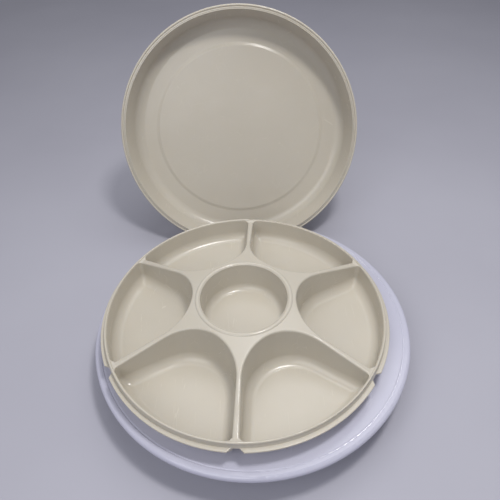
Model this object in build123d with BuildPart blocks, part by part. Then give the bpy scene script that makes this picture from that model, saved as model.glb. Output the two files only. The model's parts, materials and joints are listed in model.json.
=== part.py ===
"""Chip and dip server: a six-compartment tray with a central dip well, its cover, and a turntable.

Millimetres, +Z up. The origin is on the table, on the turntable's axis. The tray stands on the
turntable a little off centre, and the cover leans behind it with its open side to the front.
"""
import os
from math import asin, cos, radians, sin, tan

from build123d import *

os.makedirs("parts", exist_ok=True)

# ---- Driving dimensions -----------------------------------------------------------------------
# Turntable
PLATTER_R = 177.7          # outer radius of the platter
PLATTER_TOP = 48.5         # height of its top face above the table
PLATTER_DEPTH = 8.0        # depth of the platter's edge
PLATTER_SKIN = 3.0
PLATTER_EDGE = 4.0         # round on the top edge
PLATTER_LINE_R = 169.5     # shallow groove round the platter's top
RACE_R = 95.0              # pitch radius of the ball bearing
BALL_R = 3.175
BALL_Z = 30.5
BALL_COUNT = 24
GROOVE_R = 3.3             # section radius of the race grooves
RACE_WIDTH = 12.0
RACE_THICKNESS = 2.5
RACE_GAP = 4.0             # between the faces of the two races
CAGE_THICKNESS = 2.0
BASE_FOOT_R = 130.0        # outer radius of the base at its foot
BASE_TOP_R = 121.0
BASE_BOTTOM = 4.0
BASE_DECK_TOP = 27.0
BASE_WALL = 3.0
BASE_RIBS = 10
SPIGOT_R = 8.0             # platter spigot that turns in the pivot bush
FOOT_COUNT = 5
FOOT_PITCH_R = 112.0
FOOT_R = 9.0
CENTRE_TUBE_R = 17.0       # inside radius of the tube that the centre foot plugs

# Tray, in its own frame with the underside at z = 0
TRAY_X, TRAY_Y = -7.7, -6.2
TRAY_TURN = -4.1           # turn of the tray about its own axis, degrees
WALL = 2.5
COMPARTMENTS = 6
WELL_CREST_Z = 54.2
WELL_CREST_R = 49.8
WELL_BEAD_R = 2.9
WELL_DEPTH = 37.0
WELL_DRAFT = 4.0
WELL_FLOOR_FILLET = 8.0
DECK_INNER = (52.0, 52.8)  # radius and height of the deck at the well
DECK_MIDDLE = (100.0, 41.6)
DECK_OUTER = (148.0, 29.8)
DIVIDER_CREST = 6.6        # width of a divider's crest
POCKET_OUTER_R = 147.6     # at the compartment floor
POCKET_END_R = 49.0        # round inner end of a compartment, at the floor
POCKET_DRAFT = 4.0
POCKET_CORNER = 3.0
POCKET_FLOOR_FILLET = 11.0
CREST_FILLET = 1.9
BEAD_R = 1.2
BEAD_RIDGE_R = 151.0
BEAD_CREST_Z = 31.9
RIM_INNER_R = 146.5
FLANGE_R = 157.0
FLANGE_TOP = 24.7
FLANGE_THICKNESS = 1.8
COVE = (1.3, 3.6)           # width and height of the slope between the rim's wall and the flange
NOTCH_INNER_R = 152.3
NOTCH_INNER_WIDTH = 6.4
NOTCH_OUTER_WIDTH = 18.7
NOTCH_CORNER = 1.2

# Cover, in its own frame with the rim plane at z = 0 and the open side down
COVER_R = 160.0
COVER_WALL = 2.4
COVER_DEPTH = 38.0         # rim plane to the inside of the top
COVER_LIP_R = 153.8
COVER_TOP_R = 145.0        # where the slanting wall would meet the top
COVER_FILLET = 13.0
COVER_STEP_R = 113.5       # inner edge of the shallow step in the top
COVER_STEP = 1.1
COVER_STEP_WIDTH = 4.0
RIM_BEAD_R = 1.4
COVER_GAP = 1.5            # between the closed cover's rim and the tray's flange
COVER_TILT = 65.0          # lean of the rim plane from the table
COVER_REST = (TRAY_X, 242.3, 150.3)   # centre of the rim plane as it leans

# ---- Derived ----------------------------------------------------------------------------------
LOWER_RACE_TOP = BALL_Z - RACE_GAP / 2
UPPER_RACE_BOTTOM = BALL_Z + RACE_GAP / 2
SECTOR = 360 / COMPARTMENTS
TRAY_PLACE = Location((TRAY_X, TRAY_Y, PLATTER_TOP), (0, 0, TRAY_TURN))
COVER_PLACE = Location(COVER_REST, (180 + COVER_TILT, 0, 0))


# ---- Turntable --------------------------------------------------------------------------------
def race_ring(bottom, groove_z):
    """A pressed steel race: a flat ring with a round groove for the balls."""
    with BuildPart() as ring:
        with BuildSketch(Plane.XY.offset(bottom)):
            Circle(RACE_R + RACE_WIDTH / 2)
            Circle(RACE_R - RACE_WIDTH / 2, mode=Mode.SUBTRACT)
        extrude(amount=RACE_THICKNESS)
        with BuildSketch(Plane.XZ):
            with Locations((RACE_R, groove_z)):
                Circle(GROOVE_R)
        revolve(axis=Axis.Z, mode=Mode.SUBTRACT)
    return ring.part


def make_platter():
    """The turning disc: a skin with a deep rounded edge, a race boss, ribs and a central spigot."""
    skin_bottom = PLATTER_TOP - PLATTER_SKIN
    edge_bottom = PLATTER_TOP - PLATTER_DEPTH
    boss_bottom = UPPER_RACE_BOTTOM + 0.8
    race_top = UPPER_RACE_BOTTOM + RACE_THICKNESS
    with BuildPart() as platter:
        with BuildSketch(Plane.XZ):
            with BuildLine():
                Polyline(
                    (0, skin_bottom), (0, PLATTER_TOP), (PLATTER_R, PLATTER_TOP),
                    (PLATTER_R, edge_bottom), (PLATTER_R - 7, edge_bottom),
                    (PLATTER_R - 11, skin_bottom), close=True,
                )
            make_face()
        revolve(axis=Axis.Z)
        rim = platter.edges().filter_by(GeomType.CIRCLE)
        top_edge = rim.group_by(Axis.Z)[-1].sort_by(SortBy.RADIUS)[-1]
        fillet(top_edge, radius=PLATTER_EDGE)
        fillet(platter.edges().group_by(Axis.Z)[0].sort_by(SortBy.RADIUS)[-1], radius=PLATTER_EDGE - 1)
        fillet(platter.edges().group_by(Axis.Z)[0].sort_by(SortBy.RADIUS)[0], radius=1)
        with BuildSketch(Plane.XZ):
            with Locations((PLATTER_LINE_R, PLATTER_TOP + 0.9)):
                Circle(1.4)
        revolve(axis=Axis.Z, mode=Mode.SUBTRACT)
        with BuildSketch(Plane.XY.offset(boss_bottom)):
            Circle(RACE_R + RACE_WIDTH / 2 + 2.5)
            Circle(RACE_R - RACE_WIDTH / 2 - 2.5, mode=Mode.SUBTRACT)
        extrude(until=Until.NEXT)
        with BuildSketch(Plane.XY.offset(boss_bottom)):
            Circle(RACE_R + RACE_WIDTH / 2)
            Circle(RACE_R - RACE_WIDTH / 2, mode=Mode.SUBTRACT)
        extrude(amount=race_top - boss_bottom, mode=Mode.SUBTRACT)
        with BuildSketch(Plane.XY.offset(race_top)):
            Circle(13)
        extrude(until=Until.NEXT)
        with PolarLocations(0, 12):
            with Locations((47, 0, skin_bottom - 3)):
                Box(72, 2.4, 6.2)
            with Locations((133, 0, skin_bottom - 1.9)):
                Box(66, 2.4, 4)
        with BuildSketch(Plane.XY.offset(15.5)):
            Circle(SPIGOT_R)
        extrude(amount=race_top - 15.5)
        with BuildSketch(Plane.XY.offset(15.5)):
            Circle(2.5)
        extrude(amount=17, mode=Mode.SUBTRACT)
    return platter.part


def make_base():
    """The moulded base: a slanting skirt, a deck that carries the lower race, ribs and bosses."""
    deck_bottom = BASE_DECK_TOP - BASE_WALL
    with BuildPart() as base:
        with BuildSketch(Plane.XZ):
            with BuildLine():
                Polyline(
                    (0, deck_bottom), (0, BASE_DECK_TOP), (BASE_TOP_R, BASE_DECK_TOP),
                    (BASE_FOOT_R, BASE_BOTTOM), (BASE_FOOT_R - BASE_WALL, BASE_BOTTOM),
                    (BASE_TOP_R - BASE_WALL, deck_bottom), close=True,
                )
            make_face()
        revolve(axis=Axis.Z)
        shoulder = base.edges().filter_by(GeomType.CIRCLE).group_by(Axis.Z)[-1]
        fillet(shoulder.sort_by(SortBy.RADIUS)[-1], radius=4)
        with PolarLocations(0, BASE_RIBS):
            with Locations((71.5, 0, deck_bottom - 6)):
                Box(95, 2.4, 12.2)
        with BuildSketch(Plane.XY.offset(deck_bottom)):
            with PolarLocations(FOOT_PITCH_R, FOOT_COUNT, start_angle=90):
                Circle(FOOT_R)
        extrude(amount=BASE_BOTTOM - deck_bottom)
        with BuildSketch(Plane.XY.offset(BASE_BOTTOM)):
            Circle(CENTRE_TUBE_R + BASE_WALL)
        extrude(amount=deck_bottom - BASE_BOTTOM)
        with BuildSketch(Plane.XY.offset(BASE_BOTTOM)):
            Circle(CENTRE_TUBE_R)
        extrude(amount=12, mode=Mode.SUBTRACT)
        with BuildSketch(Plane.XY.offset(16)):
            Circle(11)
        extrude(amount=20, mode=Mode.SUBTRACT)
        with BuildSketch(Plane.XY.offset(BASE_BOTTOM)):
            with PolarLocations(FOOT_PITCH_R, FOOT_COUNT, start_angle=90):
                Circle(5)
        extrude(amount=9, mode=Mode.SUBTRACT)
        with BuildSketch(Plane.XY.offset(LOWER_RACE_TOP - RACE_THICKNESS)):
            Circle(RACE_R + RACE_WIDTH / 2)
            Circle(RACE_R - RACE_WIDTH / 2, mode=Mode.SUBTRACT)
        extrude(amount=RACE_THICKNESS, mode=Mode.SUBTRACT)
    return base.part


def make_pivot_bush():
    """The flanged plastic bush in the base that the platter's spigot turns in."""
    with BuildPart() as bush:
        with BuildSketch(Plane.XY.offset(16)):
            Circle(11)
        extrude(amount=BASE_DECK_TOP - 16)
        with BuildSketch(Plane.XY.offset(BASE_DECK_TOP)):
            Circle(14)
        extrude(amount=1.5)
        with BuildSketch(Plane.XY.offset(16)):
            Circle(SPIGOT_R + 0.08)
        extrude(amount=20, mode=Mode.SUBTRACT)
        chamfer(bush.edges().group_by(Axis.Z)[-1], length=0.4)
    return bush.part


def make_washer():
    """The washer that holds the platter's spigot down in the bush."""
    with BuildPart() as washer:
        with BuildSketch(Plane.XY.offset(14)):
            Circle(13)
            Circle(2.8, mode=Mode.SUBTRACT)
        extrude(amount=1.5)
    return washer.part


def make_screw():
    """The pan-head screw up into the spigot, with a cross recess."""
    with BuildPart() as screw:
        with BuildSketch(Plane.XY.offset(14)):
            Circle(5)
        extrude(amount=-3.2)
        fillet(screw.edges().group_by(Axis.Z)[0], radius=1.6)
        with BuildSketch(Plane.XY.offset(10.8)):
            Rectangle(5, 1.1)
            Rectangle(1.1, 5)
        extrude(amount=1.8, mode=Mode.SUBTRACT)
        with BuildSketch(Plane.XY.offset(14)):
            Circle(2.5)
        extrude(amount=16)
        chamfer(screw.edges().group_by(Axis.Z)[-1], length=0.8)
    return screw.part


def make_cage():
    """The ball cage: a thin plastic ring with a round pocket for each ball."""
    with BuildPart() as cage:
        with BuildSketch(Plane.XY.offset(BALL_Z - CAGE_THICKNESS / 2)):
            Circle(RACE_R + 5.2)
            Circle(RACE_R - 5.2, mode=Mode.SUBTRACT)
            with PolarLocations(RACE_R, BALL_COUNT):
                Circle(BALL_R + 0.1, mode=Mode.SUBTRACT)
        extrude(amount=CAGE_THICKNESS)
    return cage.part


def make_balls():
    """The steel balls of the bearing."""
    with BuildPart() as balls:
        with Locations((0, 0, BALL_Z)):
            with PolarLocations(RACE_R, BALL_COUNT):
                Sphere(BALL_R)
    return balls.part


def make_foot():
    """A rubber foot with a stem that pushes into its boss, standing at the origin."""
    with BuildPart() as foot:
        with BuildSketch():
            Circle(FOOT_R)
        extrude(amount=BASE_BOTTOM)
        fillet(foot.edges().group_by(Axis.Z)[0], radius=1.2)
        with BuildSketch(Plane.XY.offset(BASE_BOTTOM)):
            Circle(4.95)
        extrude(amount=8)
        chamfer(foot.edges().group_by(Axis.Z)[-1], length=0.6)
    return foot.part


def make_centre_foot():
    """The rubber plug that closes the base's centre tube and stands on the table."""
    with BuildPart() as plug:
        with BuildSketch():
            Circle(CENTRE_TUBE_R + BASE_WALL)
        extrude(amount=BASE_BOTTOM)
        fillet(plug.edges().group_by(Axis.Z)[0], radius=1.2)
        with BuildSketch(Plane.XY.offset(BASE_BOTTOM)):
            Circle(CENTRE_TUBE_R - 0.05)
        extrude(amount=4)
        chamfer(plug.edges().group_by(Axis.Z)[-1], length=0.6)
    return plug.part


# ---- Tray -------------------------------------------------------------------------------------
def make_pocket(grow, floor_z):
    """A compartment as a solid, centred on +X: its cavity, or with grow the outside of its walls."""
    draft_spread = (DECK_OUTER[1] - WALL) * tan(radians(POCKET_DRAFT))
    half_divider = DIVIDER_CREST / 2 + draft_spread - grow
    outer_r = POCKET_OUTER_R + grow
    end_r = POCKET_END_R + grow
    half_angle = radians(SECTOR / 2)
    # The round inner end is tangent to both side walls, which run parallel to the dividers
    end_x = (end_r + half_divider) / sin(half_angle)
    side_start = (end_x - end_r * sin(half_angle), end_r * cos(half_angle))
    corner_angle = half_angle - asin(half_divider / outer_r)
    corner = (outer_r * cos(corner_angle), outer_r * sin(corner_angle))
    with BuildPart() as pocket:
        with BuildSketch(Plane.XY.offset(floor_z)) as outline:
            with BuildLine():
                ThreePointArc((side_start[0], -side_start[1]), (end_x - end_r, 0), side_start)
                Line(side_start, corner)
                ThreePointArc(corner, (outer_r, 0), (corner[0], -corner[1]))
                Line((corner[0], -corner[1]), (side_start[0], -side_start[1]))
            make_face()
            fillet(outline.vertices().group_by(Axis.X)[-1], radius=POCKET_CORNER + grow)
        extrude(amount=70, taper=-POCKET_DRAFT)
        fillet(pocket.edges().group_by(Axis.Z)[0], radius=POCKET_FLOOR_FILLET + grow)
    return pocket.part


def revolve_under_deck(drop, bottom, reach=DECK_OUTER[0]):
    """The solid from the level bottom up to the deck's curve lowered by drop, out to radius reach."""
    inner, middle, outer = [
        (radius, height - drop) for radius, height in (DECK_INNER, DECK_MIDDLE, DECK_OUTER)
    ]
    with BuildPart() as dome:
        with BuildSketch(Plane.XZ):
            with BuildLine():
                ThreePointArc(inner, middle, outer)
                if reach > outer[0]:
                    Line(outer, (reach, outer[1]))
                Polyline((reach, outer[1]), (reach, bottom), (0, bottom), (0, inner[1]), inner)
            make_face()
        revolve(axis=Axis.Z)
    return dome.part


def make_deck(cavities):
    """The star-shaped deck and the dividers' rounded crests, as a skin between the compartments."""
    with BuildPart() as deck:
        add(revolve_under_deck(0, 0))
        add(cavities, mode=Mode.SUBTRACT)
        fillet(deck.edges().filter_by(is_divider_crest), radius=CREST_FILLET)
        add(revolve_under_deck(WALL, -1), mode=Mode.SUBTRACT)
    return deck.part


def is_divider_crest(edge):
    """Whether an edge borders the deck's upper surface along a compartment."""
    middle = edge.position_at(0.5)
    radius = (middle.X**2 + middle.Y**2) ** 0.5
    is_high = middle.Z > DECK_OUTER[1] - 0.5 and edge.geom_type != GeomType.CIRCLE
    return is_high and WELL_CREST_R + 4 < radius < DECK_OUTER[0] - 0.05


def make_pods(cavities):
    """The walls and floors of the six compartments, cut off inside the deck's thickness."""
    pod = make_pocket(WALL, 0)
    with BuildPart() as pods:
        with PolarLocations(0, COMPARTMENTS):
            add(pod)
        add(revolve_under_deck(CREST_FILLET + 0.3, 0, BEAD_RIDGE_R + 0.4), mode=Mode.INTERSECT)
        add(cavities, mode=Mode.SUBTRACT)
    return pods.part


def make_rim(cavities):
    """The tray's rim: the wall up to the bead, and the notched flange round its outside."""
    bead_z = BEAD_CREST_Z - BEAD_R
    wall_outer_r = BEAD_RIDGE_R + 0.7
    flange_bottom = FLANGE_TOP - FLANGE_THICKNESS
    with BuildPart() as rim:
        with BuildSketch(Plane.XY.offset(flange_bottom)) as flange:
            Circle(FLANGE_R)
            with PolarLocations(0, COMPARTMENTS, start_angle=SECTOR / 2):
                Polygon(
                    (NOTCH_INNER_R, -NOTCH_INNER_WIDTH / 2), (FLANGE_R + 1, -NOTCH_OUTER_WIDTH / 2),
                    (FLANGE_R + 1, NOTCH_OUTER_WIDTH / 2), (NOTCH_INNER_R, NOTCH_INNER_WIDTH / 2),
                    align=None, mode=Mode.SUBTRACT,
                )
            fillet(flange.vertices(), radius=NOTCH_CORNER)
            Circle(BEAD_RIDGE_R, mode=Mode.SUBTRACT)
        extrude(amount=FLANGE_THICKNESS)
        fillet(rim.edges().group_by(Axis.Z)[-1].filter_by(is_on_flange_outline), radius=0.7)
        with BuildSketch(Plane.XZ):
            with BuildLine():
                Polyline(
                    (RIM_INNER_R, flange_bottom), (RIM_INNER_R, DECK_OUTER[1] + 0.3),
                    (BEAD_RIDGE_R - BEAD_R, bead_z), (wall_outer_r, bead_z),
                    (wall_outer_r, FLANGE_TOP + COVE[1]), (wall_outer_r + COVE[0], FLANGE_TOP - 0.5),
                    (wall_outer_r, flange_bottom), close=True,
                )
            make_face()
            with Locations((BEAD_RIDGE_R, bead_z)):
                Circle(BEAD_R)
        revolve(axis=Axis.Z)
        add(cavities, mode=Mode.SUBTRACT)
    return rim.part


def is_on_flange_outline(edge):
    """Whether an edge runs along the flange's notched outline, not its inner circle."""
    middle = edge.position_at(0.5)
    return (middle.X**2 + middle.Y**2) ** 0.5 > BEAD_RIDGE_R + 0.5


def make_well():
    """The outside of the dip well with its crest bead, and the cavity to cut from it."""
    floor_z = WELL_CREST_Z - WELL_DEPTH
    mouth_r = WELL_CREST_R - WELL_BEAD_R
    slope = tan(radians(WELL_DRAFT))
    bead_z = WELL_CREST_Z - WELL_BEAD_R
    floor_r = mouth_r - WELL_DEPTH * slope
    with BuildPart() as outside:
        with BuildSketch(Plane.XZ) as profile:
            with BuildLine():
                Polyline(
                    (0, floor_z - WALL), (0, bead_z), (WELL_CREST_R + WELL_BEAD_R, bead_z),
                    (DECK_INNER[0] + 0.8, DECK_INNER[1] - WALL), (floor_r + WALL, floor_z - WALL),
                    close=True,
                )
            make_face()
            foot = profile.vertices().group_by(Axis.Y)[0].sort_by(Axis.X)[-1]
            fillet(foot, radius=WELL_FLOOR_FILLET + WALL)
            with Locations((WELL_CREST_R, bead_z)):
                Circle(WELL_BEAD_R)
        revolve(axis=Axis.Z)
    with BuildPart() as cavity:
        with BuildSketch(Plane.XZ) as profile:
            with BuildLine():
                Polyline(
                    (0, floor_z), (floor_r, floor_z), (mouth_r, bead_z), (mouth_r, WELL_CREST_Z + 1),
                    (0, WELL_CREST_Z + 1), close=True,
                )
            make_face()
            fillet(profile.vertices().group_by(Axis.Y)[0].sort_by(Axis.X)[-1], radius=WELL_FLOOR_FILLET)
        revolve(axis=Axis.Z)
    return outside.part, cavity.part


def make_compartment_cavities():
    """The cavities of all six compartments as one tool to cut with."""
    cavity = make_pocket(0, WALL)
    with BuildPart() as cavities:
        with PolarLocations(0, COMPARTMENTS):
            add(cavity)
    return cavities.part


def make_tray():
    """The moulded tray, with its six compartments, its dip well, its rim and its flange."""
    cavities = make_compartment_cavities()
    well_outside, well_cavity = make_well()
    with BuildPart() as tray:
        add(make_pods(cavities))
        add(make_deck(cavities))
        add(make_rim(cavities))
        add(well_outside)
        add(well_cavity, mode=Mode.SUBTRACT)
    return tray.part


# ---- Cover ------------------------------------------------------------------------------------
def make_cover():
    """The cover: a shallow round lid with a stepped top and a grooved, beaded rim."""
    top = COVER_DEPTH + COVER_WALL
    outer_wall = COVER_WALL * 1.02     # wall thickness measured level, along the slanting wall
    wall_slope = (COVER_LIP_R - COVER_TOP_R) / COVER_DEPTH
    band_top = 2 * RIM_BEAD_R
    band_inner_r = COVER_LIP_R + outer_wall - wall_slope * band_top
    groove_top = 1.4
    step_edge = COVER_STEP_R + COVER_STEP_WIDTH
    ridge_r = COVER_R - 4.3
    with BuildPart() as cover:
        with BuildSketch(Plane.XZ) as profile:
            with BuildLine():
                Polyline(
                    (0, COVER_DEPTH - COVER_STEP), (COVER_STEP_R, COVER_DEPTH - COVER_STEP),
                    (step_edge, COVER_DEPTH), (COVER_TOP_R, COVER_DEPTH),
                    (COVER_LIP_R, 0), (COVER_LIP_R + 1, 0), (COVER_LIP_R + 1, groove_top),
                    (ridge_r - 0.5, groove_top), (ridge_r - 0.5, 0.3), (ridge_r + 0.5, 0.3),
                    (ridge_r + 0.5, groove_top), (COVER_R - RIM_BEAD_R, groove_top),
                    (COVER_R - RIM_BEAD_R, band_top), (band_inner_r, band_top),
                    (COVER_TOP_R + outer_wall - wall_slope * COVER_WALL, top),
                    (step_edge, top), (COVER_STEP_R, top - COVER_STEP),
                    (0, top - COVER_STEP), close=True,
                )
            make_face()
            step_corners = profile.vertices().filter_by(lambda v: COVER_STEP_R - 1 < v.X < step_edge + 1)
            fillet(step_corners, radius=5)
            shoulders = profile.vertices().filter_by(lambda v: COVER_TOP_R - 1 < v.X < COVER_TOP_R + 3)
            fillet(shoulders.sort_by(Axis.Y)[0], radius=COVER_FILLET)
            fillet(shoulders.sort_by(Axis.Y)[-1], radius=COVER_FILLET + COVER_WALL)
            with Locations((COVER_R - RIM_BEAD_R, RIM_BEAD_R)):
                Circle(RIM_BEAD_R)
        revolve(axis=Axis.Z)
        # The moulding's gate mark, inside at the centre of the top
        with BuildSketch(Plane.XY.offset(COVER_DEPTH - COVER_STEP)):
            Circle(2.2)
            Circle(1.2, mode=Mode.SUBTRACT)
        extrude(amount=0.4, mode=Mode.SUBTRACT)
    return cover.part


# ---- Build and export -------------------------------------------------------------------------
pieces = {
    "turntable_base": make_base(),
    "lower_race": race_ring(LOWER_RACE_TOP - RACE_THICKNESS, BALL_Z),
    "pivot_bush": make_pivot_bush(),
    "centre_foot": make_centre_foot(),
    "ball_cage": make_cage(),
    "bearing_balls": make_balls(),
    "platter": make_platter(),
    "upper_race": race_ring(UPPER_RACE_BOTTOM, BALL_Z),
    "retaining_washer": make_washer(),
    "retaining_screw": make_screw(),
    "serving_tray": TRAY_PLACE * make_tray(),
    "cover": COVER_PLACE * make_cover(),
}
foot_places = PolarLocations(FOOT_PITCH_R, FOOT_COUNT, start_angle=90).locations
for number, place in enumerate(foot_places, start=1):
    pieces[f"foot_{number}"] = place * make_foot()

for label, piece in pieces.items():
    piece.label = label
    export_step(piece, f"parts/{label}.step")
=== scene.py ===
"""Chip and dip server: materials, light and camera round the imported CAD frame. Metres, +Z up."""
import json
import math

import bpy
from mathutils import Matrix, Vector


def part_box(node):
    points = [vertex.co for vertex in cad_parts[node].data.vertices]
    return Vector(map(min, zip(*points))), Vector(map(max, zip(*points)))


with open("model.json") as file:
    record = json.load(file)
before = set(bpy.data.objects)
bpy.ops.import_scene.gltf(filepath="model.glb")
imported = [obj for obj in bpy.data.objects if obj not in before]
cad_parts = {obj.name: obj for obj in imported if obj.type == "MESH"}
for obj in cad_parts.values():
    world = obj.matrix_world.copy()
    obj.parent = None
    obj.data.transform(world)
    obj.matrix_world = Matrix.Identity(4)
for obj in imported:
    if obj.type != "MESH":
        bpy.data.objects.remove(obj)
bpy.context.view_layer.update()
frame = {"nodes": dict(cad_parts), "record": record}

# ---- Camera, as the photograph was taken: looking along +Y and down -----------------------------
platter_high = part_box("platter")[1]
TARGET_BELOW_PLATTER_TOP = 0.0025
CAMERA_TARGET = Vector((0.0008, 0.1222, platter_high.z - TARGET_BELOW_PLATTER_TOP))
CAMERA_ELEVATION = math.radians(44.03)
CAMERA_ROLL = math.radians(-2.1)
CAMERA_DISTANCE = 0.6675
CAMERA_LENS = 36.16                        # millimetres
CAMERA_SENSOR = 36.0                       # millimetres

# ---- Light and floor ----------------------------------------------------------------------------
WORLD_COLOUR = (0.93, 0.94, 1.0)
WORLD_STRENGTH = 0.28
WARM_WHITE = (1.0, 0.985, 0.96)
COOL_WHITE = (0.97, 0.98, 1.0)

# Name, place, target, size, power in watts, colour
SOFTBOXES = (
    ("key", (0.22, -0.10, 1.10), (0.0, -0.1, 0.05), 0.15, 4.8, WARM_WHITE),
    ("ceiling", (0.12, 0.36, 1.25), (0.0, 0.05, 0.05), 0.9, 4.4, COOL_WHITE),
    ("front_fill", (-0.45, -0.85, 1.05), (0.0, -0.3, 0.0), 0.9, 6.0, COOL_WHITE),
)

FLOOR_HALF = 4.0
FLOOR_ROUGHNESS = 0.85

# ---- Base colours, linear -----------------------------------------------------------------------
ALMOND = (0.538, 0.497, 0.424), (0.568, 0.528, 0.455)
ALMOND_FLECK = (0.53, 0.490, 0.405)
ALMOND_SCRATCH = (0.80, 0.77, 0.70)
WHITE = (0.525, 0.523, 0.635), (0.560, 0.558, 0.670)
WHITE_SPECK = (0.33, 0.34, 0.45)
WHITE_SCRATCH = (0.52, 0.52, 0.66)
BASE_GREY = (0.50, 0.50, 0.56), (0.55, 0.55, 0.61)
ACETAL = (0.68, 0.67, 0.62), (0.74, 0.73, 0.69)
RUBBER = (0.018, 0.018, 0.020), (0.05, 0.05, 0.052)
FLOOR = (0.425, 0.420, 0.485), (0.460, 0.456, 0.522)
BEARING_STEEL = (0.72, 0.72, 0.74)
PLATED_STEEL = (0.62, 0.62, 0.64)

# ---- Surface relief and wear --------------------------------------------------------------------
NOISE_RANGE = (0.3, 0.7)                   # where most of a noise's values lie
PEEL_HEIGHT = 0.0004                       # the slow waviness of a moulded face
SCRATCH_DEPTH = 0.00005
SCRATCH_STRETCH = (1.0, 0.06, 1.0)         # draws the cells out into long lines
SCRATCH_PATCH_SCALE = 0.8                  # size of the scratched patches, against the scratches
SCRATCH_PATCH_RANGE = (0.56, 0.66)
MOULDED_ROUGHNESS_SPREAD = 0.06
STEEL_ROUGHNESS_SPREAD = 0.12
STEEL_SHADE = 0.9                          # the lighter tone times this gives the other tone
TURNING_STRETCH = (1.0, 1.0, 6.0)          # flattens the noise into rings round the Z axis


# ---- Node helpers -------------------------------------------------------------------------------
class Graph:
    """A material's node tree, with short calls for the nodes used here."""

    def __init__(self, name):
        self.material = bpy.data.materials.new(name)
        self.material.use_nodes = True
        self.tree = self.material.node_tree
        self.shader = self.tree.nodes["Principled BSDF"]
        self.place = self.tree.nodes.new("ShaderNodeTexCoord").outputs["Object"]

    def link(self, source, target):
        self.tree.links.new(source, target)

    def node(self, kind, **settings):
        made = self.tree.nodes.new(kind)
        for key, value in settings.items():
            setattr(made, key, value)
        return made

    def fill(self, sockets, values):
        """Each value is a number or colour to set, or an output to link."""
        for socket, value in zip(sockets, values):
            if isinstance(value, float):
                socket.default_value = value
            elif isinstance(value, tuple):
                socket.default_value = (*value, 1.0)
            else:
                self.link(value, socket)

    def stretched(self, stretch, turn=0.0):
        """The place on the object, scaled by stretch along its axes and turned about Z."""
        mapping = self.node("ShaderNodeMapping")
        mapping.inputs["Scale"].default_value = stretch
        mapping.inputs["Rotation"].default_value = (0, 0, turn)
        self.link(self.place, mapping.inputs["Vector"])
        return mapping.outputs["Vector"]

    def noise(self, scale, detail, roughness=0.5, stretch=None):
        made = self.node("ShaderNodeTexNoise")
        made.inputs["Scale"].default_value = scale
        made.inputs["Detail"].default_value = detail
        made.inputs["Roughness"].default_value = roughness
        place = self.stretched(stretch) if stretch else self.place
        self.link(place, made.inputs["Vector"])
        return made.outputs["Fac"]

    def ramp(self, source, low, high, low_value=0.0, high_value=1.0):
        """source carried from low..high to low_value..high_value, and held there outside."""
        made = self.node("ShaderNodeMapRange", clamp=True)
        made.inputs["From Min"].default_value = low
        made.inputs["From Max"].default_value = high
        made.inputs["To Min"].default_value = low_value
        made.inputs["To Max"].default_value = high_value
        self.link(source, made.inputs["Value"])
        return made.outputs["Result"]

    def cloud(self, scale, detail, low_value=0.0, high_value=1.0, roughness=0.5):
        """Soft noise, spread over low_value..high_value."""
        return self.ramp(self.noise(scale, detail, roughness), *NOISE_RANGE, low_value, high_value)

    def combine(self, operation, first, second):
        made = self.node("ShaderNodeMath", operation=operation)
        self.fill(made.inputs, (first, second))
        return made.outputs["Value"]

    def mix_colour(self, factor, first, second):
        made = self.node("ShaderNodeMix", data_type="RGBA")
        self.fill([made.inputs[key] for key in ("Factor", "A", "B")], (factor, first, second))
        return made.outputs["Result"]

    def scratches(self, scale, turn, width):
        """Thin straight scratches in one direction: 1 on a scratch and 0 off it."""
        cells = self.node("ShaderNodeTexVoronoi", feature="DISTANCE_TO_EDGE")
        cells.inputs["Scale"].default_value = scale
        self.link(self.stretched(SCRATCH_STRETCH, turn), cells.inputs["Vector"])
        line = self.ramp(cells.outputs["Distance"], 0.0, width, 1.0, 0.0)
        patch = self.ramp(self.noise(scale * SCRATCH_PATCH_SCALE, 2.0), *SCRATCH_PATCH_RANGE)
        return self.combine("MULTIPLY", line, patch)

    def bump(self, height, distance, strength, normal=None):
        made = self.node("ShaderNodeBump")
        made.inputs["Distance"].default_value = distance
        made.inputs["Strength"].default_value = strength
        self.link(height, made.inputs["Height"])
        if normal is not None:
            self.link(normal, made.inputs["Normal"])
        return made.outputs["Normal"]

    def surface(self, tone, roughness, normal):
        """Links the shader's colour, roughness and bumps."""
        sockets = [self.shader.inputs[key] for key in ("Base Color", "Roughness", "Normal")]
        self.fill(sockets, (tone, roughness, normal))

    def settings(self, **values):
        """Sets the shader's sockets, with _ standing for a space in their names."""
        for key, value in values.items():
            self.shader.inputs[key.replace("_", " ")].default_value = value


# ---- Materials ----------------------------------------------------------------------------------
def almond_plastic():
    """Aged almond moulding: a soft sheen, faint cloudiness, fine grain and a few scratches."""
    g = Graph("almond_plastic")
    tone = g.mix_colour(g.cloud(9.0, 3.0), *ALMOND)
    fine = g.ramp(g.noise(55.0, 4.0), 0.35, 0.65)
    tone = g.mix_colour(g.combine("MULTIPLY", fine, 0.18), tone, ALMOND_FLECK)
    marks = g.combine("MAXIMUM", g.scratches(70.0, 0.5, 0.012), g.scratches(55.0, 2.1, 0.010))
    tone = g.mix_colour(g.combine("MULTIPLY", marks, 0.08), tone, ALMOND_SCRATCH)
    rough = g.cloud(30.0, 5.0, 0.20, 0.26, roughness=0.6)
    rough = g.combine("ADD", rough, g.combine("MULTIPLY", marks, 0.12))
    peel = g.bump(g.noise(45.0, 2.0), PEEL_HEIGHT, 0.25)
    grain = g.bump(g.noise(1400.0, 2.0), 0.00008, 0.35, peel)
    g.surface(tone, rough, g.bump(marks, SCRATCH_DEPTH, 0.4, grain))
    g.settings(Subsurface_Weight=0.12, Subsurface_Scale=0.004,
               Subsurface_Radius=(1.0, 0.75, 0.45), IOR=1.49)
    return g.material


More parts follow.
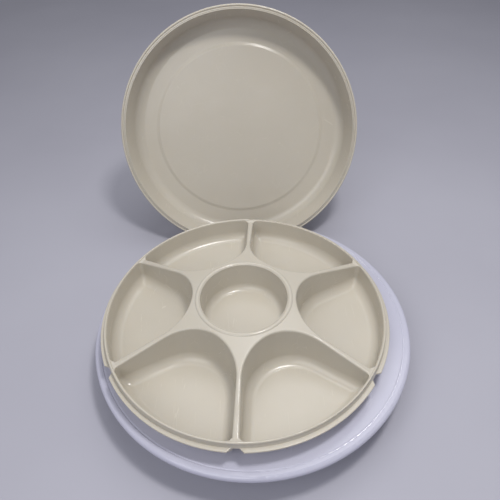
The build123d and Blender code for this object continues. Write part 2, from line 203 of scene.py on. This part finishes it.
def platter_plastic():
    """Cool white gloss: smudged shine, hairline scratches and small dark specks."""
    g = Graph("white_plastic")
    tone = g.mix_colour(g.cloud(7.0, 3.0), *WHITE)
    cells = g.node("ShaderNodeTexVoronoi", feature="F1")
    cells.inputs["Scale"].default_value = 75.0
    g.link(g.place, cells.inputs["Vector"])
    dots = g.ramp(cells.outputs["Distance"], 0.05, 0.09, 1.0, 0.0)
    chosen = g.ramp(g.noise(36.0, 1.0), 0.68, 0.70)
    specks = g.combine("MULTIPLY", dots, chosen)
    tone = g.mix_colour(g.combine("MULTIPLY", specks, 0.6), tone, WHITE_SPECK)
    marks = g.combine("MAXIMUM", g.scratches(46.0, 0.9, 0.010), g.scratches(60.0, 2.5, 0.008))
    tone = g.mix_colour(g.combine("MULTIPLY", marks, 0.20), tone, WHITE_SCRATCH)
    rough = g.ramp(g.noise(14.0, 5.0, 0.6), 0.35, 0.7, 0.10, 0.22)
    rough = g.combine("ADD", rough, g.combine("MULTIPLY", marks, 0.25))
    peel = g.bump(g.noise(38.0, 2.0), PEEL_HEIGHT, 0.22)
    g.surface(tone, rough, g.bump(marks, SCRATCH_DEPTH, 0.5, peel))
    g.settings(Subsurface_Weight=0.08, Subsurface_Scale=0.004,
               Subsurface_Radius=(0.9, 0.9, 1.0), IOR=1.50)
    return g.material


def moulded_plastic(name, tones, roughness):
    """A plain matte moulding with fine spark-eroded grain."""
    g = Graph(name)
    rough = g.cloud(40.0, 4.0, roughness - MOULDED_ROUGHNESS_SPREAD,
                    roughness + MOULDED_ROUGHNESS_SPREAD)
    grain = g.bump(g.noise(900.0, 3.0), 0.00015, 0.5)
    g.surface(g.mix_colour(g.cloud(12.0, 4.0), *tones), rough, grain)
    return g.material


def steel(name, colour, roughness, brushed):
    """Bright steel with turning marks round its axis, as strong as brushed says."""
    g = Graph(name)
    shade = tuple(STEEL_SHADE * channel for channel in colour)
    rough = g.cloud(120.0, 4.0, roughness, roughness + STEEL_ROUGHNESS_SPREAD)
    lines = g.noise(900.0, 2.0, stretch=TURNING_STRETCH)
    g.surface(g.mix_colour(g.cloud(60.0, 4.0), colour, shade), rough,
              g.bump(lines, 0.00005, brushed))
    g.settings(Metallic=1.0)
    return g.material


def rubber():
    """Dull dark rubber with a dusty bloom."""
    g = Graph("foot_rubber")
    bloom = g.ramp(g.noise(180.0, 5.0), 0.4, 0.7)
    grain = g.bump(g.noise(700.0, 3.0), 0.0002, 0.6)
    g.surface(g.mix_colour(bloom, *RUBBER), g.cloud(90.0, 3.0, 0.62, 0.85), grain)
    return g.material


def dress_nodes():
    """Each CAD node takes the material of its slot in the record."""
    materials = {
        "almond_plastic": almond_plastic(),
        "white_plastic": platter_plastic(),
        "base_plastic": moulded_plastic("base_plastic", BASE_GREY, 0.48),
        "natural_acetal": moulded_plastic("natural_acetal", ACETAL, 0.36),
        "bearing_steel": steel("bearing_steel", BEARING_STEEL, 0.08, 0.05),
        "plated_steel": steel("plated_steel", PLATED_STEEL, 0.28, 0.4),
        "foot_rubber": rubber(),
    }
    for part in frame["record"]["subparts"]:
        node = frame["nodes"][part["node"]]
        for place in node.material_slots:
            place.material = materials[part["material_slot"]]


# ---- Stage, light and camera --------------------------------------------------------------------
def make_floor():
    """The plain pale table top that the object stands on."""
    mesh = bpy.data.meshes.new("floor")
    corners = [(FLOOR_HALF * x, FLOOR_HALF * y, 0) for x, y in ((-1, -1), (1, -1), (1, 1), (-1, 1))]
    mesh.from_pydata(corners, [], [(0, 1, 2, 3)])
    floor = bpy.data.objects.new("floor", mesh)
    bpy.context.scene.collection.objects.link(floor)
    g = Graph("floor")
    g.link(g.mix_colour(g.cloud(3.0, 3.0), *FLOOR), g.shader.inputs["Base Color"])
    g.settings(Roughness=FLOOR_ROUGHNESS)
    mesh.materials.append(g.material)


def area_light(name, place, target, size, power, colour):
    """A square softbox at place, facing target."""
    data = bpy.data.lights.new(name, "AREA")
    data.shape = "SQUARE"
    data.size = size
    data.energy = power
    data.color = colour
    lamp = bpy.data.objects.new(name, data)
    bpy.context.scene.collection.objects.link(lamp)
    lamp.location = place
    lamp.rotation_euler = (Vector(target) - Vector(place)).to_track_quat("-Z", "Y").to_euler()


def light_scene():
    """A small key to the right, a ceiling softbox that the gloss reflects, and a front fill."""
    world = bpy.data.worlds.new("surround")
    bpy.context.scene.world = world
    world.use_nodes = True
    background = world.node_tree.nodes["Background"]
    background.inputs["Color"].default_value = (*WORLD_COLOUR, 1.0)
    background.inputs["Strength"].default_value = WORLD_STRENGTH
    for softbox in SOFTBOXES:
        area_light(*softbox)


def make_camera():
    """The camera at the photograph's angle, distance and slight roll."""
    data = bpy.data.cameras.new("camera")
    data.sensor_width = CAMERA_SENSOR
    data.lens = CAMERA_LENS
    camera = bpy.data.objects.new("camera", data)
    bpy.context.scene.collection.objects.link(camera)
    back = Vector((0.0, -math.cos(CAMERA_ELEVATION), math.sin(CAMERA_ELEVATION)))
    camera.location = CAMERA_TARGET + back * CAMERA_DISTANCE
    level = Matrix.Rotation(math.pi / 2 - CAMERA_ELEVATION, 4, "X")
    rolled = level @ Matrix.Rotation(CAMERA_ROLL, 4, "Z")
    camera.rotation_euler = rolled.to_euler()
    bpy.context.scene.camera = camera


dress_nodes()
make_floor()
light_scene()
make_camera()
bpy.context.scene.view_settings.view_transform = "Standard"
